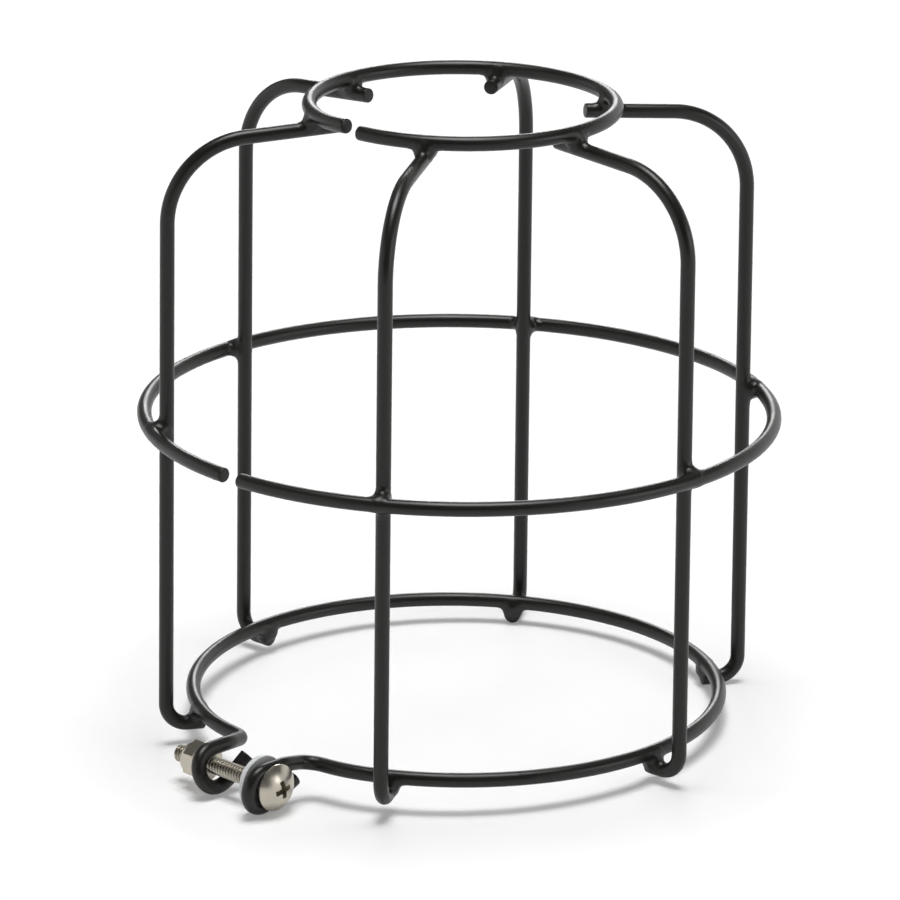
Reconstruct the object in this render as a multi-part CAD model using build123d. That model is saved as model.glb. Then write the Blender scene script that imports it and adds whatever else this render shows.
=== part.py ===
from build123d import *
import os
from math import asin, cos, degrees, radians, sin, sqrt, tan

# Wire light guard: six bent ribs welded to a top ring, a middle hoop and a clamp ring.
# Millimetres and degrees. The origin is the centre of the clamp ring, in the plane of its wire's
# centreline. +Z points to the closed end of the cage, and the clamp's gap faces -Y.

# Wire
wire_diameter = 4.0
weld_gap = 0.2  # weld metal between two crossing wires
cut_round = 0.35  # rounding that the coating gives the sheared ends

# Rings, measured to the centreline of the wire
clamp_ring_radius = 72.9
stem_standoff = 9.5  # from the clamp ring's wire out to the foot of the ribs' stems
top_ring_radius = 41.3
hoop_height = 80.2
top_ring_height = 166.3
hoop_end_gap = 6.0
top_end_gap = 4.1
gap_drift = 0.5  # degrees that these two gaps stand off the clamp's gap, towards the nut
top_end_twist = 15.0  # degrees that the top ring's end at the nut's side turns up out of the ring

# Ribs
rib_count = 6
rib_drift = [-0.4, 0.2, -0.3, 0.6, 1.3, -1.2]  # degrees that each rib stands off an even spacing
stem_lean = 0.4  # degrees that the stems lean in towards the top
run_fall = 4.0  # degrees that the run under the top ring falls from the axis outwards
rib_end_reach = 6.8  # how far the cut end passes the top ring's centreline
shoulder_radius = 23.0
heel_radius = 6.0
toe_reach = 1.0  # how far the toe passes the clamp ring's centreline

# Weld beads
weld_bulge = 0.75  # how far the bead of a weld stands proud of the wires' sides

# Clamp ring, where its ends leave the circle and hook round the screw
closing_margin = 4.0  # degrees past the nearest rib where the ring begins to close in
closing_radius = 45.0
elbow_offset = 12.5  # from the middle of the gap to the corner of each elbow
elbow_radius = 5.2
elbow_run = 6.0  # straight wire from the end of the closing arc to the elbow's corner
leg_bend_radius = 10.0
eye_lead = 7.4  # straight wire that lies over the screw before the hook begins
eye_rise = 2.0  # how far the legs climb above the plane of the ring
eye_slack = 0.8  # room round the thread in each hook

# The two hooks: offset of the leg from the middle of the gap, distance from the clamp ring's wire
# out to the hook's centre, lean of the hook towards the screw's head, turn past the bottom and
# straight tail
nut_leg_offset = 8.8
nut_eye_standoff = 13.9
nut_eye_lean = 17.0
nut_tail_turn = 48.0
nut_tail_length = 8.0
head_leg_offset = 13.3
head_eye_standoff = 15.1
head_eye_lean = -5.0
head_tail_turn = 25.0
head_tail_length = 10.9

# Clamp screw
thread_diameter = 4.8
screw_length = 37.2
screw_standoff = 12.7  # from the clamp ring's wire out to the screw's axis
screw_clearance = 0.3  # between the thread and the leg above it
tip_chamfer = 0.7
head_diameter = 12.9
head_height = 3.3
head_edge = 0.5
recess_span = 6.8
recess_slot = 1.8
recess_depth = 2.4
recess_taper = 12.0
recess_turn = 12.0

# Washers
nylon_washer_diameter = 15.0
nylon_washer_thickness = 1.5
flat_washer_diameter = 11.4
flat_washer_thickness = 0.8
flat_washer_play = 0.6

# Lock nut with its nylon insert
nut_across_flats = 9.5
nut_height = 5.6
nut_hex_height = 4.0
nut_collar_diameter = 8.7
nut_corner_chamfer = 25.0
insert_diameter = 7.2
insert_thickness = 1.3
collar_lip = 0.35
collar_mouth_diameter = 6.2
collar_round = 0.6

# Worked out from the sizes above
wire_radius = wire_diameter / 2
wire_step = wire_diameter + weld_gap
weld_radius = wire_radius + weld_bulge
foot_radius = clamp_ring_radius + stem_standoff
toe_height = -wire_step
stem_slope = tan(radians(stem_lean))
middle_hoop_radius = foot_radius - (hoop_height - toe_height) * stem_slope + wire_step
run_slope = tan(radians(run_fall))
run_height = top_ring_height - wire_step / cos(radians(run_fall))
eye_radius = thread_diameter / 2 + wire_radius + eye_slack
screw_y = -clamp_ring_radius - screw_standoff
screw_z = eye_rise - wire_radius - screw_clearance - thread_diameter / 2
head_seat = head_leg_offset + wire_radius
hook_slant = 2 * eye_radius * sin(radians(abs(head_eye_lean)))
washer_seat = head_leg_offset - wire_radius - hook_slant
nut_seat = -nut_leg_offset - wire_radius
rib_spacing = 360 / rib_count
rib_angles = [270 + rib_spacing * (k + 0.5) + drift for k, drift in zip(range(rib_count), rib_drift)]
closing_start = rib_spacing / 2 - closing_margin

outward = Vector(0, -1, 0)


def bent_wire(path, start_direction):
    """Round wire along a path of straight runs and arcs, with its two cut ends just rounded."""
    section = Plane(origin=path @ 0, z_dir=start_direction) * Circle(wire_radius)
    wire = sweep(section, path=path)
    ends = [face for face in wire.faces() if face.geom_type == GeomType.PLANE]
    return fillet([edge for face in ends for edge in face.edges()], cut_round)


def bend(start, heading, toward, radius, turn):
    """One arc of a bent wire, with the point and the heading where it ends."""
    centre = start + toward * radius

    def at(angle):
        return centre + heading * (radius * sin(radians(angle))) - toward * (radius * cos(radians(angle)))

    arc = ThreePointArc(at(0), at(turn / 2), at(turn))
    return arc, at(turn), heading * cos(radians(turn)) + toward * sin(radians(turn))


def open_ring(radius, height, end_gap, end_twist=0.0):
    """A ring of wire whose two cut ends face each other across a gap on -Y.

    Past the last weld the free end can turn up a little out of the ring.
    """
    half_gap = degrees(end_gap / 2 / radius)
    start_angle = 270 - gap_drift + half_gap
    free_turn = start_angle + 360 - 2 * half_gap - rib_angles[-1] - degrees(weld_radius / radius)
    ring = CenterArc((0, 0, height), radius, start_angle, 360 - 2 * half_gap - free_turn)
    inward = Vector(0, 0, height) - ring @ 1
    tilted = inward.normalized() * cos(radians(end_twist)) + Vector(0, 0, sin(radians(end_twist)))
    free_end, tip, heading = bend(ring @ 1, ring % 1, tilted, radius * cos(radians(end_twist)), free_turn)
    return bent_wire(Wire([ring.edge(), free_end.edge()]), ring % 0)


def rib_path():
    """Centreline of one rib in the XZ plane: run, shoulder, stem, heel and toe."""
    end_height = run_height + rib_end_reach * run_slope
    run_drop = (foot_radius - top_ring_radius - (run_height - toe_height) * stem_slope) * run_slope
    shoulder_height = run_height - run_drop / (1 - run_slope * stem_slope)
    shoulder_corner = foot_radius - (shoulder_height - toe_height) * stem_slope
    points = [
        (top_ring_radius - rib_end_reach, 0, end_height),
        (shoulder_corner, 0, shoulder_height),
        (foot_radius, 0, toe_height),
        (clamp_ring_radius - toe_reach, 0, toe_height),
    ]
    return FilletPolyline(*points, radius=[shoulder_radius, heel_radius])


def clamp_end(side, leg_offset, eye_standoff, lean, tail_turn, tail_length):
    """One end of the clamp ring, from where it leaves the circle to the tip of its tail.

    side is +1 at the screw's head and -1 at the nut.
    """
    closing_centre = clamp_ring_radius - closing_radius
    start_angle = radians(closing_start)
    closing_end = asin((elbow_offset + elbow_run - closing_centre * sin(start_angle)) / closing_radius)
    arc_centre = Vector(side * closing_centre * sin(start_angle), -closing_centre * cos(start_angle), 0)

    def on_closing_arc(angle):
        return arc_centre + Vector(side * closing_radius * sin(angle), -closing_radius * cos(angle), 0)

    closing_arc = ThreePointArc(
        on_closing_arc(start_angle), on_closing_arc((start_angle + closing_end) / 2), on_closing_arc(closing_end)
    )
    arc_end = closing_arc @ 1
    corner = arc_end + (closing_arc % 1) * elbow_run
    hook_top = Vector(side * leg_offset, -clamp_ring_radius - eye_standoff, eye_rise)
    leg_end = hook_top - outward * eye_lead
    leg = FilletPolyline(arc_end, corner, leg_end, hook_top, radius=[elbow_radius, leg_bend_radius])

    down = Vector(sin(radians(lean)), 0, -cos(radians(lean)))
    hook, bottom, heading = bend(hook_top, outward, down, eye_radius, 180)
    back_up = Vector(sin(radians(abs(lean))), 0, cos(radians(lean)))
    lift, tail_start, heading = bend(bottom, heading, back_up, eye_radius, tail_turn)
    tail = Line(tail_start, tail_start + heading * tail_length)
    return [closing_arc, *leg.edges(), hook, lift, tail]


def clamp_ring_path():
    """Centreline of the clamp ring from the tail at the nut to the tail at the head."""
    circle_turn = 360 - 2 * closing_start
    circle = CenterArc((0, 0, 0), clamp_ring_radius, 270 + closing_start, circle_turn)
    nut_end = clamp_end(
        -1, nut_leg_offset, nut_eye_standoff, nut_eye_lean, nut_tail_turn, nut_tail_length
    )
    head_end = clamp_end(
        1, head_leg_offset, head_eye_standoff, head_eye_lean, head_tail_turn, head_tail_length
    )
    return nut_end, circle, head_end


def clamp_ring_wire():
    """The clamp ring as one bent wire, in the order nut end, circle, head end."""
    nut_end, circle, head_end = clamp_ring_path()
    nut_edges = [edge for stretch in reversed(nut_end) for edge in reversed(stretch.edges())]
    head_edges = [edge for stretch in head_end for edge in stretch.edges()]
    path = Wire([*nut_edges, circle.edge(), *head_edges])
    return bent_wire(path, path % 0)


def weld_beads(radius, height, rib, ring_radius, ring_height):
    """A small bead round each place where a rib crosses a ring, moulded to both wires."""
    ring = Pos(0, 0, ring_height) * Torus(ring_radius, wire_radius)
    bead = Pos(radius, 0, height) * Sphere(weld_radius) - rib - ring
    return Compound(children=[(Rot(0, 0, angle) * bead).solid() for angle in rib_angles])


def clamp_screw():
    """Domed screw with a cross recess, seat at the origin and head towards +Z."""
    head_radius = head_diameter / 2
    dome_height = head_height - head_edge
    dome_radius = (head_radius**2 + dome_height**2) / (2 * dome_height)
    dome = Pos(0, 0, head_height - dome_radius) * Sphere(dome_radius)
    head = dome & Pos(0, 0, head_height / 2) * Cylinder(head_radius, head_height)
    shank = Pos(0, 0, -screw_length / 2) * Cylinder(thread_diameter / 2, screw_length)
    shank = chamfer(shank.edges().group_by(Axis.Z)[0], tip_chamfer)
    cross = Rectangle(recess_span, recess_slot) + Rectangle(recess_slot, recess_span)
    turned_cross = Pos(0, 0, head_height) * Rot(0, 0, recess_turn) * cross
    recess = extrude(turned_cross, amount=-recess_depth, taper=recess_taper)
    return head + shank - recess


def washer(diameter, hole_diameter, thickness):
    """Flat ring from the origin up, as wide and thick as given."""
    return extrude(Circle(diameter / 2) - Circle(hole_diameter / 2), amount=thickness)


def lock_nut():
    """Hexagon with a round collar, seat at the origin, open for the screw and its nylon insert."""
    flat_radius = nut_across_flats / 2
    corner_radius = nut_across_flats / sqrt(3)
    chamfer_drop = (corner_radius - flat_radius) * tan(radians(nut_corner_chamfer))
    turned_outline = Polyline(
        (0, 0),
        (flat_radius, 0),
        (corner_radius, chamfer_drop),
        (corner_radius, nut_hex_height - chamfer_drop),
        (flat_radius, nut_hex_height),
        (0, nut_hex_height),
        close=True,
    )
    hexagon = extrude(RegularPolygon(flat_radius, side_count=6, major_radius=False), amount=nut_hex_height)
    body = hexagon & revolve(Plane.XZ * make_face(turned_outline), Axis.Z)
    collar_height = nut_height - nut_hex_height
    collar = Pos(0, 0, nut_height - collar_height / 2) * Cylinder(nut_collar_diameter / 2, collar_height)
    collar = fillet(collar.edges().group_by(Axis.Z)[-1], collar_round)
    bore = Pos(0, 0, nut_height / 2) * Cylinder(thread_diameter / 2, nut_height)
    pocket_top = nut_height - collar_lip
    pocket = Pos(0, 0, pocket_top - insert_thickness / 2) * Cylinder(insert_diameter / 2, insert_thickness)
    mouth = Pos(0, 0, pocket_top + collar_lip / 2) * Cylinder(collar_mouth_diameter / 2, collar_lip)
    return body + collar - bore - pocket - mouth


def along_screw(piece, x):
    """Put a piece made along +Z on the screw's axis, turned towards the head, with its origin at x."""
    return Pos(x, screw_y, screw_z) * Rot(0, 90, 0) * piece


def build_parts():
    """Every piece of the guard by name."""
    rib = bent_wire(rib_path(), rib_path() % 0)
    top_ring = open_ring(top_ring_radius, top_ring_height, top_end_gap, top_end_twist)
    middle_hoop = open_ring(middle_hoop_radius, hoop_height, hoop_end_gap)
    clamp_ring = clamp_ring_wire()
    ribs = [Rot(0, 0, angle) * rib for angle in rib_angles]
    parts = {f"rib_{k + 1}": piece for k, piece in enumerate(ribs)}
    parts["top_ring"] = top_ring
    parts["middle_hoop"] = middle_hoop
    parts["clamp_ring"] = clamp_ring

    half_step = wire_step / 2
    top_contact = top_ring_height - half_step
    hoop_contact = middle_hoop_radius - half_step
    parts["top_ring_welds"] = weld_beads(
        top_ring_radius, top_contact, rib, top_ring_radius, top_ring_height
    )
    parts["middle_hoop_welds"] = weld_beads(
        hoop_contact, hoop_height, rib, middle_hoop_radius, hoop_height
    )
    parts["clamp_ring_welds"] = weld_beads(
        clamp_ring_radius, -half_step, rib, clamp_ring_radius, 0
    )

    parts["clamp_screw"] = along_screw(clamp_screw(), head_seat)
    nylon_washer = washer(nylon_washer_diameter, thread_diameter, nylon_washer_thickness)
    parts["nylon_washer"] = along_screw(nylon_washer, washer_seat - nylon_washer_thickness)
    flat_washer = washer(flat_washer_diameter, thread_diameter + flat_washer_play, flat_washer_thickness)
    parts["flat_washer"] = along_screw(flat_washer, nut_seat - flat_washer_thickness)
    insert = washer(insert_diameter, thread_diameter, insert_thickness)
    insert_start = nut_height - collar_lip - insert_thickness
    away_from_head = Rot(180, 0, 0)
    nut_face = nut_seat - flat_washer_thickness
    parts["lock_nut"] = along_screw(away_from_head * lock_nut(), nut_face)
    parts["lock_nut_insert"] = along_screw(away_from_head * Pos(0, 0, insert_start) * insert, nut_face)
    return parts


def main():
    os.makedirs("parts", exist_ok=True)
    for name, piece in build_parts().items():
        solids = piece.solids()
        export_step(Compound(children=solids) if len(solids) > 1 else solids[0], f"parts/{name}.step")


main()
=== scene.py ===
# %% [markdown]
# # A wire light guard
# The real object is a cage of round steel wire, powder coated in satin black, that protects the
# glass of a lamp. Six bent ribs are spot welded to three rings. The lowest ring is split, and a
# stainless screw with a lock nut pulls its two hooked ends together round the lamp's neck.
#
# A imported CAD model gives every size. This file loads it as a fixed frame, models each piece
# again with finer surfaces, and gives it a finish, a floor, light and a camera.

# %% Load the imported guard
from math import asin, ceil, cos, degrees, hypot, pi, radians, sin, sqrt, tan

import bmesh
import bpy
from mathutils import Matrix, Vector, geometry, noise


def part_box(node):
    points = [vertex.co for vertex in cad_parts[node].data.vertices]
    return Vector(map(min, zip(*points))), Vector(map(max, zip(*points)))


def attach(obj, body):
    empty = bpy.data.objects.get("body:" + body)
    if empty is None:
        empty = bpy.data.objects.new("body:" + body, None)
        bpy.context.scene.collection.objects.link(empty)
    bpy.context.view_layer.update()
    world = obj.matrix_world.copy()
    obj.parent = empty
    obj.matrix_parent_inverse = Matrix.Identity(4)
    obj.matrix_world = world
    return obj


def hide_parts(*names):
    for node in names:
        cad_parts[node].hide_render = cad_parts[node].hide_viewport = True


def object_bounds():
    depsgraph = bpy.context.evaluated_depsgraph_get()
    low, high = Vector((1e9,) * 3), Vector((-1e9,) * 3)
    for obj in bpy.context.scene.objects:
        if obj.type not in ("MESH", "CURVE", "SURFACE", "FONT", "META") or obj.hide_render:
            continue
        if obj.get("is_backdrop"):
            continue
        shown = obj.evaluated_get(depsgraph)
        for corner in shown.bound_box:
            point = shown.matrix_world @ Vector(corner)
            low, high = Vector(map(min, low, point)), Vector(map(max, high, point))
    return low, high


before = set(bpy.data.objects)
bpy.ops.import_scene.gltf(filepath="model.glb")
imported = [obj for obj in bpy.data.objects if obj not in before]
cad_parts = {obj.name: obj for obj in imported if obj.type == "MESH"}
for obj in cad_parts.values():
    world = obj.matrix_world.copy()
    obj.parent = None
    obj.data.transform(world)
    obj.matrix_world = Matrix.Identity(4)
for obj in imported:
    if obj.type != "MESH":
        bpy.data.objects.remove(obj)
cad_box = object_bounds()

print("CAD box, metres:", [tuple(round(c, 4) for c in corner) for corner in cad_box])

# %% [markdown]
# ## Sizes
# The guard is measured in millimetres, as a workshop drawing would be, and each mesh is scaled
# to Blender's metres when it is finished. The values repeat the driving sizes of the CAD model.
# After each piece is made, the script prints how far its box is from the box of the CAD node it
# stands for, which shows at once if one of these numbers goes wrong.

# %% Sizes of the wires, in millimetres and degrees
MM = 0.001
WIRE_RADIUS = 2.0
WIRE_STEP = 4.2  # between the centrelines of two wires that cross, with weld metal between them
CUT_ROUND = 0.35

CLAMP_RING_RADIUS = 72.9
TOP_RING_RADIUS = 41.3
HOOP_HEIGHT = 80.2
TOP_RING_HEIGHT = 166.3
HOOP_GAP = 6.0
TOP_GAP = 4.1
GAP_DRIFT = radians(0.5)
TOP_END_TWIST = radians(15.0)

RIB_ANGLES = [299.6, 360.2, 419.7, 480.6, 541.3, 598.8]  # welded by hand, so not quite 60 apart
FOOT_RADIUS = CLAMP_RING_RADIUS + 9.5
STEM_LEAN = radians(0.4)
RUN_FALL = radians(4.0)
RIB_END_REACH = 6.8
SHOULDER_RADIUS = 23.0
HEEL_RADIUS = 6.0
TOE_REACH = 1.0
RUN_HEIGHT = TOP_RING_HEIGHT - WIRE_STEP / cos(RUN_FALL)
HOOP_RADIUS = FOOT_RADIUS - (HOOP_HEIGHT + WIRE_STEP) * tan(STEM_LEAN) + WIRE_STEP

# %% Sizes of the clamp, in millimetres and degrees
CLOSING_START = radians(26.0)
CLOSING_RADIUS = 45.0
ELBOW_OFFSET = 12.5
ELBOW_RADIUS = 5.2
ELBOW_RUN = 6.0
LEG_BEND_RADIUS = 10.0
EYE_LEAD = 7.4
EYE_RISE = 2.0
EYE_RADIUS = 5.2
# side of the gap, leg's offset, hook's centre, hook's lean, turn past the bottom, straight tail
HOOKS = (
    (1, 13.3, CLAMP_RING_RADIUS + 15.1, radians(-5.0), radians(25.0), 10.9),
    (-1, 8.8, CLAMP_RING_RADIUS + 13.9, radians(17.0), radians(48.0), 8.0),
)

SCREW_Y = -85.6
SCREW_Z = -2.7
_, head_leg, _, head_lean, _, _ = HOOKS[0]
HEAD_SEAT = head_leg + WIRE_RADIUS
WASHER_SEAT = head_leg - WIRE_RADIUS - 2 * EYE_RADIUS * sin(abs(head_lean))
NUT_SEAT = -HOOKS[1][1] - WIRE_RADIUS
THREAD_RADIUS = 2.4
THREAD_DEPTH = 0.62

# %% [markdown]
# ## Camera
# The guard is seen a little from above, from the side where the clamp is. The lens is long, so
# the near and far wires of the cage are almost the same size. The camera's place and its three
# axes were found by fitting the circles of the three rings, so they are written as they came out.

# %% Camera at the photograph's angle
camera_data = bpy.data.cameras.new("guard_camera")
camera_data.sensor_width = 36.0
camera_data.lens = 233.42
camera_data.clip_start = 0.1
camera_data.clip_end = 20.0
camera = bpy.data.objects.new("guard_camera", camera_data)
right = Vector((0.72317, 0.69060, 0.01029))
up = Vector((-0.21835, 0.21446, 0.95201))
back = Vector((0.65525, -0.69071, 0.30588))
camera_axes = Matrix((right, up, back)).transposed().to_4x4()
camera.matrix_world = Matrix.Translation((1.04597, -1.10608, 0.55780)) @ camera_axes
bpy.context.scene.collection.objects.link(camera)
bpy.context.scene.camera = camera
bpy.context.scene.view_settings.view_transform = "Standard"
GUARD_MIDDLE = Vector((0, 0, 80 * MM))
print("camera distance to the guard's middle, metres:", round((camera.location - GUARD_MIDDLE).length, 3))

# %% [markdown]
# ## Colours and nodes
# Colours are written as the sRGB hex values that one reads off a screen. Blender calculates in
# linear light, so one function does the change. A second function adds one node to a material
# and sets or links its inputs, which keeps each material short enough to read.

# %% Helpers for materials
def colour(hex_value):
    """Linear RGBA of an sRGB hex colour such as "2c2b29"."""
    channels = [int(hex_value[k:k + 2], 16) / 255 for k in (0, 2, 4)]
    return (*[c / 12.92 if c <= 0.04045 else ((c + 0.055) / 1.055) ** 2.4 for c in channels], 1.0)


def add_node(tree, kind, inputs, **settings):
    """Add a node. An input is set to a value, or linked where the value is another node's socket."""
    node = tree.nodes.new(kind)
    for name, value in settings.items():
        setattr(node, name, value)
    for name, value in inputs.items():
        if isinstance(value, bpy.types.NodeSocket):
            tree.links.new(value, node.inputs[name])
        else:
            node.inputs[name].default_value = value
    return node


def seen_rays(tree):
    """1 on a ray from the camera, from a mirroring surface or from glass, and 0 on the others."""
    paths = add_node(tree, "ShaderNodeLightPath", {}).outputs
    seen = paths["Is Camera Ray"]
    for kind in ("Is Glossy Ray", "Is Transmission Ray"):
        seen = add_node(tree, "ShaderNodeMath", {0: seen, 1: paths[kind]}, operation="MAXIMUM").outputs[0]
    return seen


def new_material(name):
    """An empty material, its node tree and its output node."""
    material = bpy.data.materials.new(name)
    material.use_nodes = True
    tree = material.node_tree
    tree.nodes.clear()
    return material, tree, tree.nodes.new("ShaderNodeOutputMaterial")


# %% [markdown]
# ## Black powder coat
# Polyester powder is sprayed on dry and melts into one thick skin in an oven. The skin is satin,
# not glossy. It flows almost smooth, with a faint orange-peel ripple of about a millimetre, and a
# few grains of dust are baked into it as small nibs. Black paint still reflects a pale room, so
# what the eye sees is mostly the soft grey streak along each tube.

# %% Powder coat material
RIPPLE = 0.9 * MM
DRIFT = 14 * MM
NIB_SPACING = 3.2 * MM
NIB_SIZE = 0.13  # its radius as a share of the spacing

powder_coat, tree, output = new_material("satin_black_powder_coat")
place = add_node(tree, "ShaderNodeTexCoord", {}).outputs["Object"]
ripple = add_node(
    tree, "ShaderNodeTexNoise", {"Vector": place, "Scale": 1 / RIPPLE, "Detail": 3.0}
).outputs["Fac"]
drift = add_node(
    tree, "ShaderNodeTexNoise", {"Vector": place, "Scale": 1 / DRIFT, "Detail": 2.0}
).outputs["Fac"]
nib_cells = add_node(
    tree, "ShaderNodeTexVoronoi", {"Vector": place, "Scale": 1 / NIB_SPACING}
).outputs["Distance"]
nibs = add_node(
    tree, "ShaderNodeMapRange", {"Value": nib_cells, "From Min": NIB_SIZE, "From Max": 0.4 * NIB_SIZE}
).outputs["Result"]
ripple_bump = add_node(
    tree, "ShaderNodeBump", {"Height": ripple, "Strength": 0.22, "Distance": 0.06 * MM}
).outputs["Normal"]
nib_bump = add_node(
    tree, "ShaderNodeBump", {"Height": nibs, "Strength": 0.5, "Distance": 0.08 * MM, "Normal": ripple_bump}
).outputs["Normal"]
# the Mix node has one set of sockets for each kind of data: 6 and 7 are its two colours
tone = add_node(
    tree, "ShaderNodeMix", {0: drift, 6: colour("12110f"), 7: colour("191815")}, data_type="RGBA"
).outputs[2]
roughness = add_node(
    tree,
    "ShaderNodeMapRange",
    {"Value": drift, "From Min": 0.3, "From Max": 0.7, "To Min": 0.32, "To Max": 0.4},
).outputs["Result"]
coat_shader = add_node(
    tree,
    "ShaderNodeBsdfPrincipled",
    {"Base Color": tone, "Roughness": roughness, "IOR": 1.42, "Normal": nib_bump},
)
tree.links.new(coat_shader.outputs["BSDF"], output.inputs["Surface"])

# %% [markdown]
# ## Stainless steel
# The screw, nut and flat washer are cold formed from stainless wire and left bright. Nickel in
# the steel gives the slightly warm silver. Tumbling leaves the head smooth with a very fine grain.
# The roots of the thread get a darker colour, which is painted shade in the grooves between the
# bright crests: the colour follows the distance from the screw's axis, up to the seat of the head.

# %% Stainless steel material
GRAIN = 0.35 * MM
CREST_EDGE = 0.25  # the bright crest of the thread reaches this far down

stainless, tree, output = new_material("bright_stainless_steel")
place = add_node(tree, "ShaderNodeTexCoord", {}).outputs["Object"]
grain = add_node(
    tree, "ShaderNodeTexNoise", {"Vector": place, "Scale": 1 / GRAIN, "Detail": 4.0}
).outputs["Fac"]
grain_bump = add_node(
    tree, "ShaderNodeBump", {"Height": grain, "Strength": 0.04, "Distance": 0.01 * MM}
).outputs["Normal"]
steel_roughness = add_node(
    tree,
    "ShaderNodeMapRange",
    {"Value": grain, "From Min": 0.3, "From Max": 0.7, "To Min": 0.27, "To Max": 0.32},
).outputs["Result"]
from_axis = add_node(
    tree, "ShaderNodeVectorMath", {0: place, 1: (0, SCREW_Y * MM, SCREW_Z * MM)}, operation="SUBTRACT"
).outputs["Vector"]
across = add_node(
    tree, "ShaderNodeVectorMath", {0: from_axis, 1: (0, 1, 1)}, operation="MULTIPLY"
).outputs["Vector"]
axis_distance = add_node(tree, "ShaderNodeVectorMath", {0: across}, operation="LENGTH").outputs["Value"]
crest = add_node(
    tree,
    "ShaderNodeMapRange",
    {
        "Value": axis_distance,
        "From Min": (THREAD_RADIUS - THREAD_DEPTH) * MM,
        "From Max": (THREAD_RADIUS - CREST_EDGE) * MM,
    },
).outputs["Result"]
along = add_node(tree, "ShaderNodeSeparateXYZ", {"Vector": place}).outputs["X"]
head_side = add_node(
    tree, "ShaderNodeMath", {0: along, 1: HEAD_SEAT * MM}, operation="GREATER_THAN"
).outputs[0]
outside_painted_root_shade = add_node(tree, "ShaderNodeMath", {0: crest, 1: head_side}, operation="MAXIMUM").outputs[0]
# painted shade: the roots of the thread are coloured dark, while the crests and the head keep the bright
# steel
steel_tone = add_node(
    tree, "ShaderNodeMix", {0: outside_painted_root_shade, 6: colour("3a362f"), 7: colour("bab4a7")}, data_type="RGBA"
).outputs[2]
steel_shader = add_node(
    tree,
    "ShaderNodeBsdfPrincipled",
    {"Base Color": steel_tone, "Metallic": 1.0, "Roughness": steel_roughness, "Normal": grain_bump},
)
tree.links.new(steel_shader.outputs["BSDF"], output.inputs["Surface"])

# %% [markdown]
# ## Natural nylon
# The thick washer, and the ring that grips the thread inside the lock nut, are undyed nylon. It
# is milky: light enters and spreads before it leaves, so edges look soft and a little cool.

# %% Nylon material
FLOW = 1.5 * MM

nylon, tree, output = new_material("natural_nylon")
place = add_node(tree, "ShaderNodeTexCoord", {}).outputs["Object"]
flow = add_node(
    tree, "ShaderNodeTexNoise", {"Vector": place, "Scale": 1 / FLOW, "Detail": 2.0}
).outputs["Fac"]
flow_bump = add_node(
    tree, "ShaderNodeBump", {"Height": flow, "Strength": 0.2, "Distance": 0.05 * MM}
).outputs["Normal"]
nylon_shader = add_node(
    tree,
    "ShaderNodeBsdfPrincipled",
    {
        "Base Color": colour("dcdddd"),
        "Roughness": 0.42,
        "IOR": 1.53,
        "Subsurface Weight": 0.15,
        "Subsurface Scale": 0.5 * MM,
        "Normal": flow_bump,
    },
)
tree.links.new(nylon_shader.outputs["BSDF"], output.inputs["Surface"])

# %% [markdown]
# ## Finishing a piece
# Every piece ends in the same way: its millimetres become metres, its faces are shaded smooth
# except across real edges, it gets its material, and it is tied to the frame, while the CAD nodes
# that it replaces are hidden.

# %% Turn a bmesh into a piece of the guard
SHARP_ANGLE = radians(38)


def add_piece(name, bm, material, nodes):
    """Finish a bmesh that was modelled in millimetres as an object that stands for CAD nodes."""
    bmesh.ops.recalc_face_normals(bm, faces=bm.faces)
    bmesh.ops.scale(bm, vec=(MM, MM, MM), verts=bm.verts)
    for face in bm.faces:
        face.smooth = True
    for edge in bm.edges:
        edge.smooth = len(edge.link_faces) == 2 and edge.calc_face_angle() < SHARP_ANGLE
    open_edges = sum(1 for edge in bm.edges if len(edge.link_faces) != 2)
    mesh = bpy.data.meshes.new(name)
    bm.to_mesh(mesh)
    bm.free()
    mesh.materials.append(material)
    piece = bpy.data.objects.new(name, mesh)
    bpy.context.scene.collection.objects.link(piece)
    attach(piece, "root")
    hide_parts(*nodes)
    low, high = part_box(nodes[0])
    made_low = [min(v.co[k] for v in mesh.vertices) for k in range(3)]
    made_high = [max(v.co[k] for v in mesh.vertices) for k in range(3)]
    off = max(abs(a - b) for a, b in zip((*made_low, *made_high), (*low, *high))) / MM
    print(f"{name}: {len(mesh.polygons)} faces, {open_edges} open, box within {off:.2f} mm of {nodes[0]}")
    return piece


# %% [markdown]
# ## Bending wire
# A wire bender feeds a straight length and turns it round a former, again and again. The mesh is
# made in the same way. It starts as a circle of vertices round the wire's centreline. A straight
# run extrudes the circle's edges, and a bend spins them round an axis beside the wire. A curve
# with a bevel would be shorter to write, but it leaves its ends open or flat, and here each cut
# end gets the small rounding that the melted powder gives it.

# %% A wire that is drawn by runs and bends
WIRE_SIDES = 32
BEND_STEP = radians(2.5)
CUT_SEGMENTS = 4


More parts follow.
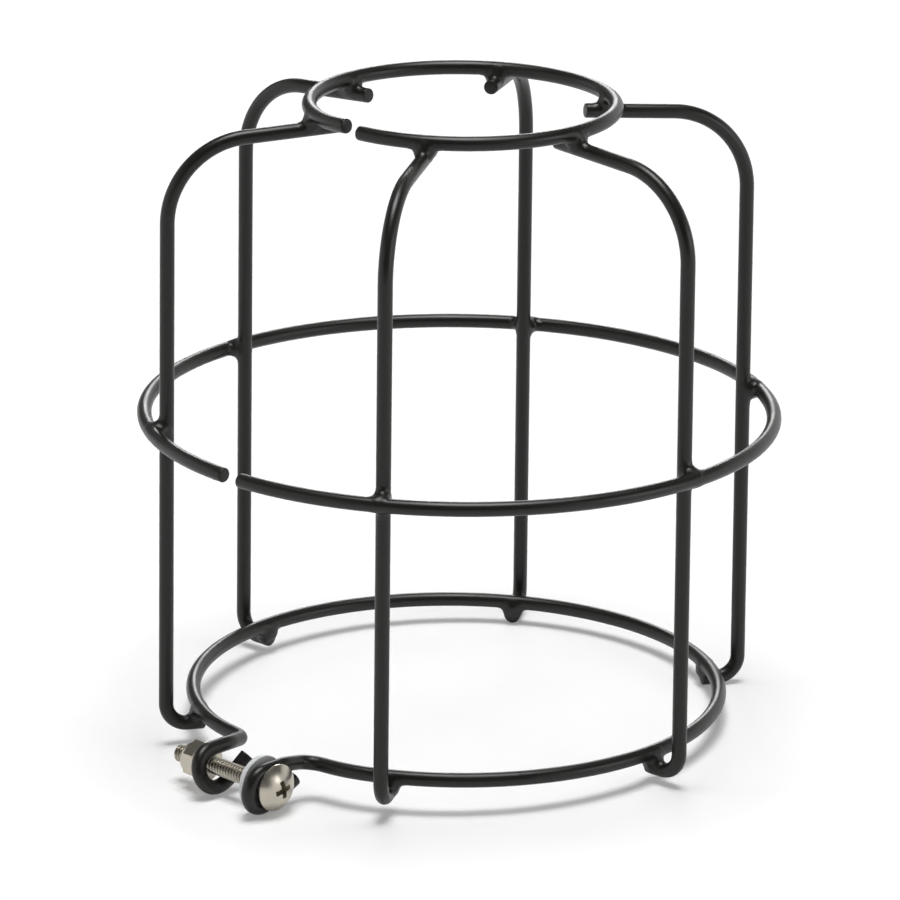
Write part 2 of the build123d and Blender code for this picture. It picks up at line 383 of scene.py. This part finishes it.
class BentWire:
    """Round wire that grows from one circle of vertices, in millimetres and radians."""

    def __init__(self, point, heading):
        self.bm = bmesh.new()
        self.point = Vector(point)
        self.heading = Vector(heading).normalized()
        across_wire = self.heading.to_track_quat("Z", "Y").to_matrix().to_4x4()
        made = bmesh.ops.create_circle(
            self.bm, cap_ends=False, segments=WIRE_SIDES, radius=WIRE_RADIUS,
            matrix=Matrix.Translation(self.point) @ across_wire,
        )
        self.rim = list({edge for vert in made["verts"] for edge in vert.link_edges})
        self.first = (self.point.copy(), self.heading.copy(), self.rim)

    def run(self, length):
        """Draw the wire straight on."""
        drawn = bmesh.ops.extrude_edge_only(self.bm, edges=self.rim)["geom"]
        verts = [item for item in drawn if isinstance(item, bmesh.types.BMVert)]
        bmesh.ops.translate(self.bm, verts=verts, vec=self.heading * length)
        self.rim = [item for item in drawn if isinstance(item, bmesh.types.BMEdge)]
        self.point = self.point + self.heading * length

    def bend(self, toward, radius, turn):
        """Bend the wire round a centre that lies at radius in the direction toward."""
        centre = self.point + Vector(toward).normalized() * radius
        axis = self.heading.cross(centre - self.point).normalized()
        rim_verts = list({vert for edge in self.rim for vert in edge.verts})
        spun = bmesh.ops.spin(
            self.bm, geom=rim_verts + self.rim, cent=centre, axis=axis, dvec=(0, 0, 0), angle=turn,
            steps=max(3, ceil(turn / BEND_STEP)), use_merge=False, use_normal_flip=False, use_duplicate=False,
        )
        self.rim = [item for item in spun["geom_last"] if isinstance(item, bmesh.types.BMEdge)]
        rotation = Matrix.Rotation(turn, 3, axis)
        self.point = centre + rotation @ (self.point - centre)
        self.heading = rotation @ self.heading

    def follow(self, corners, radii):
        """Go straight to each corner with a bend of its radius there, and end at the last corner."""
        for corner, after, radius in zip(corners, corners[1:], radii):
            onward = (after - corner).normalized()
            turn = self.heading.angle(onward)
            self.run((corner - self.point).length - radius * tan(turn / 2))
            self.bend(onward - self.heading * onward.dot(self.heading), radius, turn)
        self.run((corners[-1] - self.point).length)

    def go_back_to_start(self):
        """Draw on from the first circle, the other way."""
        self.point, self.heading, self.rim = self.first[0], -self.first[1], self.first[2]

    def cut(self):
        """Close the end that was drawn last, and round the edge of the cut."""
        bmesh.ops.edgeloop_fill(self.bm, edges=self.rim)
        bmesh.ops.bevel(
            self.bm, geom=self.rim, offset=CUT_ROUND, offset_type="OFFSET", segments=CUT_SEGMENTS,
            profile=0.5, affect="EDGES", material=-1,
        )


# %% [markdown]
# ## Ribs
# Each rib is one wire with two bends. Its cut end lies inside the top ring. From there it runs
# outwards, falling a little, turns down at a wide shoulder, drops as a straight stem that leans
# out by less than half a degree, and turns in at a tight heel, so that its toe can be welded under
# the clamp ring. The six are the same wire, turned about the axis of the cage.

# %% The six ribs
def run_point(radius):
    """A point on the centreline of the run under the top ring."""
    return Vector((radius, 0, RUN_HEIGHT - (radius - TOP_RING_RADIUS) * tan(RUN_FALL)))


heel_corner = Vector((FOOT_RADIUS, 0, -WIRE_STEP))
stem_way = Vector((-sin(STEM_LEAN), 0, cos(STEM_LEAN)))
run_way = Vector((cos(RUN_FALL), 0, -sin(RUN_FALL)))
shoulder_corner = geometry.intersect_line_line(
    heel_corner, heel_corner + stem_way, run_point(TOP_RING_RADIUS), run_point(TOP_RING_RADIUS) + run_way
)[0]
toe_end = Vector((CLAMP_RING_RADIUS - TOE_REACH, 0, -WIRE_STEP))
for number, angle in enumerate(RIB_ANGLES, start=1):
    rib = BentWire(run_point(TOP_RING_RADIUS - RIB_END_REACH), run_way)
    rib.follow([shoulder_corner, heel_corner, toe_end], [SHOULDER_RADIUS, HEEL_RADIUS])
    rib.cut()
    rib.go_back_to_start()
    rib.cut()
    to_its_place = Matrix.Rotation(radians(angle), 3, "Z")
    bmesh.ops.rotate(rib.bm, verts=rib.bm.verts, cent=(0, 0, 0), matrix=to_its_place)
    add_piece(f"coated_rib_{number}", rib.bm, powder_coat, [f"rib_{number}"])

# %% [markdown]
# ## Top ring and middle hoop
# Both are rolled from a straight wire and left open where the ends meet. The gaps face the same
# side of the cage. One bend makes nearly the full turn of each. A second, past the last weld,
# makes the free end: on the top ring it has sprung up a little, out of the plane of the ring.

# %% The two open rings
BEAD_SIZE = 2.75


def open_ring(radius, height, gap, end_twist=0.0):
    """A rolled ring whose two cut ends face each other across a gap near -Y."""
    half_gap = gap / 2 / radius
    centre = Vector((0, 0, height))
    start_angle = radians(270) - GAP_DRIFT + half_gap
    start = centre + Vector((cos(start_angle), sin(start_angle), 0)) * radius
    free_turn = start_angle + 2 * pi - 2 * half_gap - radians(RIB_ANGLES[-1]) - BEAD_SIZE / radius
    ring = BentWire(start, (-sin(start_angle), cos(start_angle), 0))
    ring.bend(centre - start, radius, 2 * pi - 2 * half_gap - free_turn)
    inward = (centre - ring.point).normalized()
    ring.bend(inward * cos(end_twist) + Vector((0, 0, sin(end_twist))), radius * cos(end_twist), free_turn)
    ring.cut()
    ring.go_back_to_start()
    ring.cut()
    return ring.bm


top_ring = open_ring(TOP_RING_RADIUS, TOP_RING_HEIGHT, TOP_GAP, TOP_END_TWIST)
add_piece("coated_top_ring", top_ring, powder_coat, ["top_ring"])
hoop = open_ring(HOOP_RADIUS, HOOP_HEIGHT, HOOP_GAP)
add_piece("coated_middle_hoop", hoop, powder_coat, ["middle_hoop"])

# %% [markdown]
# ## Clamp ring
# This is the part that takes the most skill to bend. One wire goes all the way round, closes in
# on each side of the gap, turns out at an elbow, and ends in a hook that reaches round the screw
# from above. It is drawn from the far side of the ring, first to the hook under the screw's head
# and then, from the same circle of vertices, the other way to the hook at the nut.

# %% The clamp ring with its two hooks
OUTWARD = Vector((0, -1, 0))
clamp = BentWire((0, CLAMP_RING_RADIUS, 0), (1, 0, 0))
closing_centre = CLAMP_RING_RADIUS - CLOSING_RADIUS
closing_end = asin((ELBOW_OFFSET + ELBOW_RUN - closing_centre * sin(CLOSING_START)) / CLOSING_RADIUS)
for side, leg_offset, reach, lean, tail_turn, tail_length in HOOKS:
    clamp.bend((0, -1, 0), CLAMP_RING_RADIUS, pi - CLOSING_START)
    inward = -clamp.point.normalized()
    clamp.bend(inward, CLOSING_RADIUS, CLOSING_START - closing_end)
    elbow_corner = clamp.point + clamp.heading * ELBOW_RUN
    hook_top = Vector((side * leg_offset, -reach, EYE_RISE))
    leg_end = hook_top - OUTWARD * EYE_LEAD
    clamp.follow([elbow_corner, leg_end, hook_top], [ELBOW_RADIUS, LEG_BEND_RADIUS])
    clamp.bend((sin(lean), 0, -cos(lean)), EYE_RADIUS, pi)
    clamp.bend((sin(abs(lean)), 0, cos(lean)), EYE_RADIUS, tail_turn)
    clamp.run(tail_length)
    clamp.cut()
    clamp.go_back_to_start()
add_piece("coated_clamp_ring", clamp.bm, powder_coat, ["clamp_ring"])

# %% [markdown]
# ## Welds
# Each crossing is a spot weld: the wires are pressed together hot, a little metal is squeezed
# out, and the powder fills the corner round it. The result is a soft fillet with small lumps.
# A ball of vertices round the point of contact is shaped to it. Each vertex goes out from the
# middle until it meets the blended distance to the two wires and the squeezed bead. Where it
# would have to travel further than the weld is wide, it stops inside the wire, out of sight.

# %% Shape one weld between a ring and a rib
WELD_REACH = 5.3
WELD_BLEND = 2.3  # size of the fillet
BEAD_RADIUS = 2.5
SKIN = 0.015  # the fillet lies this little above the wires that it covers
MARCH = 0.12  # step of a vertex on its way out


def wire_distance(point, cut_end, along):
    """Distance to a straight wire that begins at cut_end and goes on in the direction along."""
    offset = point - cut_end
    past = offset.dot(along)
    across = (offset - along * past).length - WIRE_RADIUS
    return hypot(max(across, 0), max(-past, 0)) + min(max(across, -past), 0)


def blend(first, second):
    """The smaller of two distances, with a fillet where they are alike."""
    closeness = max(WELD_BLEND - abs(first - second), 0) / WELD_BLEND
    return min(first, second) - closeness * closeness * WELD_BLEND / 4


def weld_shape(contact, ring_radius, ring_height, cut_end, along):
    """A ball of vertices round the contact, drawn out to the blended surface."""
    bm = bmesh.new()
    made = bmesh.ops.create_icosphere(bm, subdivisions=5, radius=1.0)
    for vert in made["verts"]:
        direction = vert.co.normalized()
        reach = 0.0
        while reach < WELD_REACH:
            point = contact + direction * (reach + MARCH)
            ring = hypot(hypot(point.x, point.y) - ring_radius, point.z - ring_height) - WIRE_RADIUS
            rib = wire_distance(point, cut_end, along)
            bead = (point - contact).length - BEAD_RADIUS
            gap = blend(blend(ring, rib), bead) - SKIN
            if gap > 0:
                break
            reach += max(MARCH * 0.1, min(MARCH, -gap))
        vert.co = contact + direction * min(reach, WELD_REACH)
    mesh = bpy.data.meshes.new("weld_shape")
    bm.to_mesh(mesh)
    bm.free()
    return mesh


# %% The three rows of welds
LUMP_SIZE = 1.6
LUMP_HEIGHT = 0.16
half_step = WIRE_STEP / 2
run_start = run_point(TOP_RING_RADIUS - RIB_END_REACH)
WELD_ROWS = {
    "top_ring_welds": (
        Vector((TOP_RING_RADIUS, 0, TOP_RING_HEIGHT - half_step)), TOP_RING_RADIUS, TOP_RING_HEIGHT,
        run_start, run_way,
    ),
    "middle_hoop_welds": (
        Vector((HOOP_RADIUS - half_step, 0, HOOP_HEIGHT)), HOOP_RADIUS, HOOP_HEIGHT,
        heel_corner, stem_way,
    ),
    "clamp_ring_welds": (
        Vector((CLAMP_RING_RADIUS, 0, -half_step)), CLAMP_RING_RADIUS, 0.0, toe_end, Vector((1, 0, 0)),
    ),
}
for row_number, (node, crossing) in enumerate(WELD_ROWS.items()):
    contact = crossing[0]
    shape = weld_shape(*crossing)
    row = bmesh.new()
    for number, angle in enumerate(RIB_ANGLES):
        before = len(row.verts)
        row.from_mesh(shape)
        row.verts.ensure_lookup_table()
        verts = row.verts[before:]
        for vert in verts:
            outward = vert.co - contact
            near = max(0.0, 1 - outward.length / WELD_REACH)
            lump = noise.noise(vert.co / LUMP_SIZE + Vector((17 * number, 31 * row_number, 0)))
            vert.co += outward.normalized() * lump * LUMP_HEIGHT * min(1.0, 3 * near)
        bmesh.ops.rotate(row, verts=verts, cent=(0, 0, 0), matrix=Matrix.Rotation(radians(angle), 3, "Z"))
    bpy.data.meshes.remove(shape)
    add_piece(f"coated_{node}", row, powder_coat, [node])

# %% [markdown]
# ## Turned and cut shapes
# Washers, the nut's collar and the screw's head are round, as if turned on a lathe: an outline
# is spun once round the axis. A hexagon that meets a cone, or a dome with a driver's recess, is
# cut from such a shape with a Boolean, as a forming tool would do it in one blow.

# %% Lathe, saw and placing on the screw
LATHE_STEPS = 72


def turned(outline):
    """Spin a closed outline of (radius, height) points round the Z axis."""
    bm = bmesh.new()
    verts = [bm.verts.new((radius, 0, height)) for radius, height in outline]
    edges = [bm.edges.new(pair) for pair in zip(verts, verts[1:] + verts[:1])]
    bmesh.ops.spin(
        bm, geom=verts + edges, cent=(0, 0, 0), axis=(0, 0, 1), dvec=(0, 0, 0), angle=2 * pi,
        steps=LATHE_STEPS, use_merge=True, use_normal_flip=False, use_duplicate=False,
    )
    bmesh.ops.remove_doubles(bm, verts=bm.verts, dist=0.0005)
    bmesh.ops.dissolve_degenerate(bm, dist=0.0005, edges=bm.edges)
    bmesh.ops.recalc_face_normals(bm, faces=bm.faces)
    return bm


def round_edges(bm, radius, segments=3):
    """Round every edge where two faces meet at more than the sharp angle."""
    sharp = [e for e in bm.edges if len(e.link_faces) == 2 and e.calc_face_angle() > SHARP_ANGLE]
    bmesh.ops.bevel(
        bm, geom=sharp, offset=radius, offset_type="OFFSET", segments=segments, profile=0.5,
        affect="EDGES", material=-1, clamp_overlap=True,
    )


def block_from(name, bm):
    """A temporary object from a bmesh, which is used up."""
    bmesh.ops.recalc_face_normals(bm, faces=bm.faces)
    mesh = bpy.data.meshes.new(name)
    bm.to_mesh(mesh)
    bm.free()
    block = bpy.data.objects.new(name, mesh)
    bpy.context.scene.collection.objects.link(block)
    return block


def cut_with(bm, tool, operation):
    """Combine two closed bmeshes with an exact Boolean, and return the result as a bmesh."""
    work, cutter = block_from("work", bm), block_from("cutter", tool)
    boolean = work.modifiers.new("cut", "BOOLEAN")
    boolean.operation = operation
    boolean.solver = "EXACT"
    boolean.object = cutter
    depsgraph = bpy.context.evaluated_depsgraph_get()
    result = bmesh.new()
    result.from_mesh(work.evaluated_get(depsgraph).data)
    for block in (work, cutter):
        mesh = block.data
        bpy.data.objects.remove(block)
        bpy.data.meshes.remove(mesh)
    return result


def put_on_screw(bm, x, turn_round=False):
    """Lay a shape that stands on +Z along the screw, towards its head, or away from it."""
    face_way = Matrix.Rotation(pi, 4, "X") if turn_round else Matrix.Identity(4)
    place = Matrix.Translation((x, SCREW_Y, SCREW_Z)) @ Matrix.Rotation(pi / 2, 4, "Y") @ face_way
    bmesh.ops.transform(bm, matrix=place, verts=bm.verts)
    return bm


# %% [markdown]
# ## Clamp screw
# The screw has a truss head, a low wide dome, with a cross recess. Its thread is rolled, so it
# runs along the whole shank. One pitch of the thread's outline, spun with a step along the axis,
# becomes a helix, and each turn is welded to the next. The tip is chamfered so that the nut starts
# easily.

# %% The screw's thread
THREAD_PITCH = 1.058
SCREW_LENGTH = 37.2
TIP_CHAMFER = 0.7
STEPS_PER_TURN = 36
THREAD_OVERLAP = 0.4  # the thread ends this far inside the head
# share of the pitch, share of the depth: root, flank, crest, flank, root
THREAD_OUTLINE = ((0.0, 0.0), (0.3, 0.92), (0.36, 1.0), (0.44, 1.0), (0.5, 0.92), (0.8, 0.0), (1.0, 0.0))

turns = ceil(SCREW_LENGTH / THREAD_PITCH) + 3
thread = bmesh.new()
thread_start = -SCREW_LENGTH - 1.5 * THREAD_PITCH
outline = [
    thread.verts.new((THREAD_RADIUS - THREAD_DEPTH * (1 - rise), 0, thread_start + share * THREAD_PITCH))
    for share, rise in THREAD_OUTLINE
]
links = [thread.edges.new(pair) for pair in zip(outline, outline[1:])]
bmesh.ops.spin(
    thread, geom=outline + links, cent=(0, 0, 0), axis=(0, 0, 1), dvec=(0, 0, THREAD_PITCH / STEPS_PER_TURN),
    angle=2 * pi * turns, steps=STEPS_PER_TURN * turns, use_merge=False, use_normal_flip=False,
    use_duplicate=False,
)
bmesh.ops.remove_doubles(thread, verts=thread.verts, dist=0.002)
for level, keep_above in ((-SCREW_LENGTH, True), (THREAD_OVERLAP, False)):
    everything = thread.verts[:] + thread.edges[:] + thread.faces[:]
    bmesh.ops.bisect_plane(
        thread, geom=everything, dist=0.0001, plane_co=(0, 0, level), plane_no=(0, 0, 1),
        clear_inner=keep_above, clear_outer=not keep_above,
    )
    open_edges = [edge for edge in thread.edges if len(edge.link_faces) == 1]
    rim = [edge for edge in open_edges if all(abs(vert.co.z - level) < 0.001 for vert in edge.verts)]
    bmesh.ops.edgeloop_fill(thread, edges=rim)
for vert in thread.verts:
    allowed = THREAD_RADIUS - TIP_CHAMFER + (vert.co.z + SCREW_LENGTH)
    radial = hypot(vert.co.x, vert.co.y)
    if radial > allowed:
        vert.co.x *= allowed / radial
        vert.co.y *= allowed / radial
print("thread turns:", turns)

# %% The screw's head
HEAD_RADIUS = 6.45
HEAD_HEIGHT = 3.3
HEAD_EDGE = 0.5
RECESS_SPAN = 6.8
RECESS_SLOT = 1.8
RECESS_DEPTH = 2.4
RECESS_TURN = radians(12.0)
RECESS_NARROWING = 0.45

dome_height = HEAD_HEIGHT - HEAD_EDGE
dome_radius = (HEAD_RADIUS ** 2 + dome_height ** 2) / (2 * dome_height)
head = bmesh.new()
bmesh.ops.create_uvsphere(
    head, u_segments=96, v_segments=96, radius=dome_radius,
    matrix=Matrix.Translation((0, 0, HEAD_HEIGHT - dome_radius)),
)
bmesh.ops.bisect_plane(
    head, geom=head.verts[:] + head.edges[:] + head.faces[:], dist=0.0001, plane_co=(0, 0, HEAD_EDGE),
    plane_no=(0, 0, 1), clear_inner=True, clear_outer=False,
)
rim = [edge for edge in head.edges if len(edge.link_faces) == 1]
skirt = bmesh.ops.extrude_edge_only(head, edges=rim)["geom"]
bmesh.ops.translate(
    head, verts=[item for item in skirt if isinstance(item, bmesh.types.BMVert)], vec=(0, 0, -HEAD_EDGE)
)
bmesh.ops.edgeloop_fill(head, edges=[item for item in skirt if isinstance(item, bmesh.types.BMEdge)])
bmesh.ops.recalc_face_normals(head, faces=head.faces)
round_edges(head, 0.18)
for quarter in range(2):
    wing = bmesh.new()
    wing_height = RECESS_DEPTH + 1.0
    bmesh.ops.create_cube(wing, size=1.0, matrix=Matrix.Diagonal((RECESS_SPAN, RECESS_SLOT, wing_height, 1)))
    floor_verts = [vert for vert in wing.verts if vert.co.z < 0]
    bmesh.ops.scale(wing, vec=(RECESS_NARROWING, RECESS_NARROWING, 1), verts=floor_verts)
    lift = Matrix.Translation((0, 0, HEAD_HEIGHT - RECESS_DEPTH + wing_height / 2))
    turn_wing = Matrix.Rotation(quarter * pi / 2 + RECESS_TURN, 4, "Z")
    bmesh.ops.transform(wing, matrix=lift @ turn_wing, verts=wing.verts)
    head = cut_with(head, wing, "DIFFERENCE")
head_mesh = bpy.data.meshes.new("screw_head")
head.to_mesh(head_mesh)
head.free()
thread.from_mesh(head_mesh)
bpy.data.meshes.remove(head_mesh)
add_piece("steel_clamp_screw", put_on_screw(thread, HEAD_SEAT), stainless, ["clamp_screw"])

# %% [markdown]
# ## Washers and lock nut
# A thick nylon washer lies inside the hook at the head, and a thin steel one under the nut. The
# nut is a chamfered hexagon with a round collar, which is rolled in over a nylon ring.

# %% The two washers
NYLON_WASHER_THICKNESS = 1.5
FLAT_WASHER_THICKNESS = 0.8


def washer(outer, hole, thickness, edge):
    """A flat ring from Z = 0 up, with rounded edges."""
    bm = turned([(hole / 2, 0), (outer / 2, 0), (outer / 2, thickness), (hole / 2, thickness)])
    round_edges(bm, edge)
    return bm


nylon_washer = washer(15.0, 2 * THREAD_RADIUS, NYLON_WASHER_THICKNESS, 0.25)
nylon_washer = put_on_screw(nylon_washer, WASHER_SEAT - NYLON_WASHER_THICKNESS)
add_piece("nylon_washer_ring", nylon_washer, nylon, ["nylon_washer"])
flat_washer = washer(11.4, 5.4, FLAT_WASHER_THICKNESS, 0.12)
flat_washer = put_on_screw(flat_washer, NUT_SEAT - FLAT_WASHER_THICKNESS)
add_piece("steel_flat_washer", flat_washer, stainless, ["flat_washer"])

# %% The lock nut and its nylon ring
NUT_FLAT_RADIUS = 4.75
NUT_HEIGHT = 5.6
NUT_HEX_HEIGHT = 4.0
NUT_CORNER_RADIUS = NUT_FLAT_RADIUS * 2 / sqrt(3)
NUT_CHAMFER = (NUT_CORNER_RADIUS - NUT_FLAT_RADIUS) * tan(radians(25))
COLLAR_RADIUS = 4.35
COLLAR_ROUND = 0.6
INSERT_RADIUS = 3.6
INSERT_THICKNESS = 1.3
COLLAR_LIP = 0.35
COLLAR_MOUTH_RADIUS = 3.1
COLLAR_EDGE = 0.18
COLLAR_BITE = 1.0  # the collar starts this far inside the hexagon
NUT_BORE_RADIUS = THREAD_RADIUS - 0.3
INSERT_BORE_RADIUS = THREAD_RADIUS - 0.2
COLLAR_INNER_RADIUS = THREAD_RADIUS + 0.5

hexagon = bmesh.new()
bmesh.ops.create_circle(
    hexagon, cap_ends=True, segments=6, radius=NUT_CORNER_RADIUS, matrix=Matrix.Rotation(pi / 2, 4, "Z")
)
grown = bmesh.ops.extrude_face_region(hexagon, geom=hexagon.faces[:])["geom"]
grown_verts = [item for item in grown if isinstance(item, bmesh.types.BMVert)]
bmesh.ops.translate(hexagon, verts=grown_verts, vec=(0, 0, NUT_HEX_HEIGHT))
blank = turned([
    (0, 0), (NUT_FLAT_RADIUS, 0), (NUT_CORNER_RADIUS + 0.01, NUT_CHAMFER),
    (NUT_CORNER_RADIUS + 0.01, NUT_HEX_HEIGHT - NUT_CHAMFER), (NUT_FLAT_RADIUS, NUT_HEX_HEIGHT),
    (0, NUT_HEX_HEIGHT),
])
nut = cut_with(hexagon, blank, "INTERSECT")
pocket_top = NUT_HEIGHT - COLLAR_LIP
pocket_floor = pocket_top - INSERT_THICKNESS
collar = turned([
    (COLLAR_INNER_RADIUS, NUT_HEX_HEIGHT - COLLAR_BITE), (COLLAR_RADIUS, NUT_HEX_HEIGHT - COLLAR_BITE),
    (COLLAR_RADIUS, NUT_HEIGHT - COLLAR_ROUND), (COLLAR_RADIUS - COLLAR_EDGE, NUT_HEIGHT - COLLAR_EDGE),
    (COLLAR_RADIUS - COLLAR_ROUND, NUT_HEIGHT), (COLLAR_INNER_RADIUS, NUT_HEIGHT),
])
nut = cut_with(nut, collar, "UNION")
bore = turned([
    (0, -1), (NUT_BORE_RADIUS, -1), (NUT_BORE_RADIUS, pocket_floor), (INSERT_RADIUS, pocket_floor),
    (INSERT_RADIUS, pocket_top), (COLLAR_MOUTH_RADIUS, pocket_top), (COLLAR_MOUTH_RADIUS, NUT_HEIGHT + 1),
    (0, NUT_HEIGHT + 1),
])
nut = cut_with(nut, bore, "DIFFERENCE")
round_edges(nut, 0.1, segments=2)
nut_face = NUT_SEAT - FLAT_WASHER_THICKNESS
nut = put_on_screw(nut, nut_face, turn_round=True)
add_piece("steel_lock_nut", nut, stainless, ["lock_nut"])

insert = turned([
    (INSERT_BORE_RADIUS, pocket_floor), (INSERT_RADIUS, pocket_floor),
    (INSERT_RADIUS, pocket_top), (INSERT_BORE_RADIUS, pocket_top),
])
insert = put_on_screw(insert, nut_face, turn_round=True)
add_piece("nylon_insert_ring", insert, nylon, ["lock_nut_insert"])

# %% [markdown]
# ## Floor and light
# The guard stands on its two hooks and the toes at the back, so it leans a little; here the
# guard stays upright as drawn and the floor is what tilts, by less than two degrees. The floor
# is a pale studio sheet. To the camera and to reflections it glows a little near the guard, where
# its shadow has to stay, and fully further out, so that the sheet melts into the white room. Other
# rays see plain paper, so no extra light falls on the guard.

# %% Floor
FLOOR_FRONT = Vector((0, -88.0, -10.42))
FLOOR_BACK = Vector((0, 66.2, -6.26))
SHADOW_REACH = 0.4  # metres from the guard's middle to where the paper starts to melt away
MELTED_REACH = 1.2


def flat_sheet(name, size, material, matrix):
    """A square sheet of the studio, which isn't part of the guard."""
    bm = bmesh.new()
    bmesh.ops.create_grid(bm, x_segments=1, y_segments=1, size=size / 2, matrix=matrix)
    mesh = bpy.data.meshes.new(name)
    bm.to_mesh(mesh)
    bm.free()
    mesh.materials.append(material)
    sheet = bpy.data.objects.new(name, mesh)
    bpy.context.scene.collection.objects.link(sheet)
    sheet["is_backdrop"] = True
    return sheet


white_paper, tree, output = new_material("white_paper_sweep")
place = add_node(tree, "ShaderNodeTexCoord", {}).outputs["Object"]
distance = add_node(tree, "ShaderNodeVectorMath", {0: place}, operation="LENGTH").outputs["Value"]
share = add_node(
    tree,
    "ShaderNodeMapRange",
    {"Value": distance, "From Min": SHADOW_REACH, "From Max": MELTED_REACH, "To Min": 0.2, "To Max": 1.0},
).outputs["Result"]
seen_share = add_node(
    tree, "ShaderNodeMath", {0: seen_rays(tree), 1: share}, operation="MULTIPLY"
).outputs[0]
paper = add_node(tree, "ShaderNodeBsdfDiffuse", {"Color": colour("fafafa")}).outputs[0]
glow = add_node(tree, "ShaderNodeEmission", {"Color": (1, 1, 1, 1), "Strength": 1.15}).outputs[0]
sheet_shader = add_node(tree, "ShaderNodeMixShader", {0: seen_share, 1: paper, 2: glow}).outputs[0]
tree.links.new(sheet_shader, output.inputs["Surface"])

slope = (FLOOR_BACK - FLOOR_FRONT).normalized()
tilt = Matrix.Rotation(asin(slope.z), 4, "X")
flat_sheet("paper_floor", 12.0, white_paper, Matrix.Translation(FLOOR_FRONT * MM) @ tilt)
print("floor tilt, degrees:", round(degrees(asin(slope.z)), 2))

# %% [markdown]
# Three soft boxes do the lighting. A large one hangs high over the guard and draws the pale streak
# along the upper side of each level wire. One stands low behind it, where a wire that runs away
# from the camera mirrors it, and a small one on the right puts the bright spot on the screw's
# head. Black paint and bright metal show the room more than themselves, so the room is made as a
# studio makes it: white all round, with a dark ceiling and dark screens at the front and left.

# %% Lamps and room
def facing(direction, distance):
    """Where a lamp or a screen hangs that faces the guard from a direction."""
    back = Vector(direction).normalized()
    aim = back.to_track_quat("Z", "Y").to_matrix().to_4x4()
    return Matrix.Translation(GUARD_MIDDLE + back * distance) @ aim


def soft_box(name, direction, distance, size, glow):
    """A square area lamp. glow is how bright its face is, where white paper is 1."""
    lamp_data = bpy.data.lights.new(name, "AREA")
    lamp_data.shape = "SQUARE"
    lamp_data.size = size
    lamp_data.energy = glow * pi * size * size
    lamp = bpy.data.objects.new(name, lamp_data)
    lamp.matrix_world = facing(direction, distance)
    lamp.visible_camera = False
    bpy.context.scene.collection.objects.link(lamp)


soft_box("top_box", (0.0, 0.02, 1.0), 3.0, 1.5, 13.0)
soft_box("back_box", (-0.66, 0.69, 0.3), 2.6, 0.6, 8.0)
soft_box("right_box", (0.95, 0.33, 0.25), 1.6, 0.5, 3.0)

cloth, tree, output = new_material("dark_cloth")
cloth_shader = add_node(tree, "ShaderNodeBsdfDiffuse", {"Color": colour("707070")}).outputs[0]
tree.links.new(cloth_shader, output.inputs["Surface"])
for name, direction, distance, size in (
    ("dark_ceiling", (0.0, 0.0, 1.0), 3.1, 10.0),
    ("front_screen", (0.69, -0.72, 0.1), 2.6, 4.0),
    ("left_screen", (-0.93, 0.34, 0.1), 2.6, 2.0),
):
    screen = flat_sheet(name, size, cloth, facing(direction, distance))
    screen.visible_camera = False

room = bpy.data.worlds.new("studio_room")
room.use_nodes = True
tree = room.node_tree
tree.nodes.clear()
strength = add_node(
    tree, "ShaderNodeMapRange", {"Value": seen_rays(tree), "To Min": 0.35, "To Max": 1.0}
).outputs["Result"]
air = add_node(tree, "ShaderNodeBackground", {"Color": (1, 1, 1, 1), "Strength": strength}).outputs[0]
tree.links.new(air, add_node(tree, "ShaderNodeOutputWorld", {}).inputs["Surface"])
bpy.context.scene.world = room

# %% [markdown]
# ## Check of the size
# The last step measures the finished guard and keeps the numbers beside those of the CAD model.

# %% Measure and finish
made_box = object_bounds()
for name, first, second in (("low", cad_box[0], made_box[0]), ("high", cad_box[1], made_box[1])):
    first, second = ([round(c / MM, 2) for c in corner] for corner in (first, second))
    print(name, "corner, CAD and made, mm:", first, second)
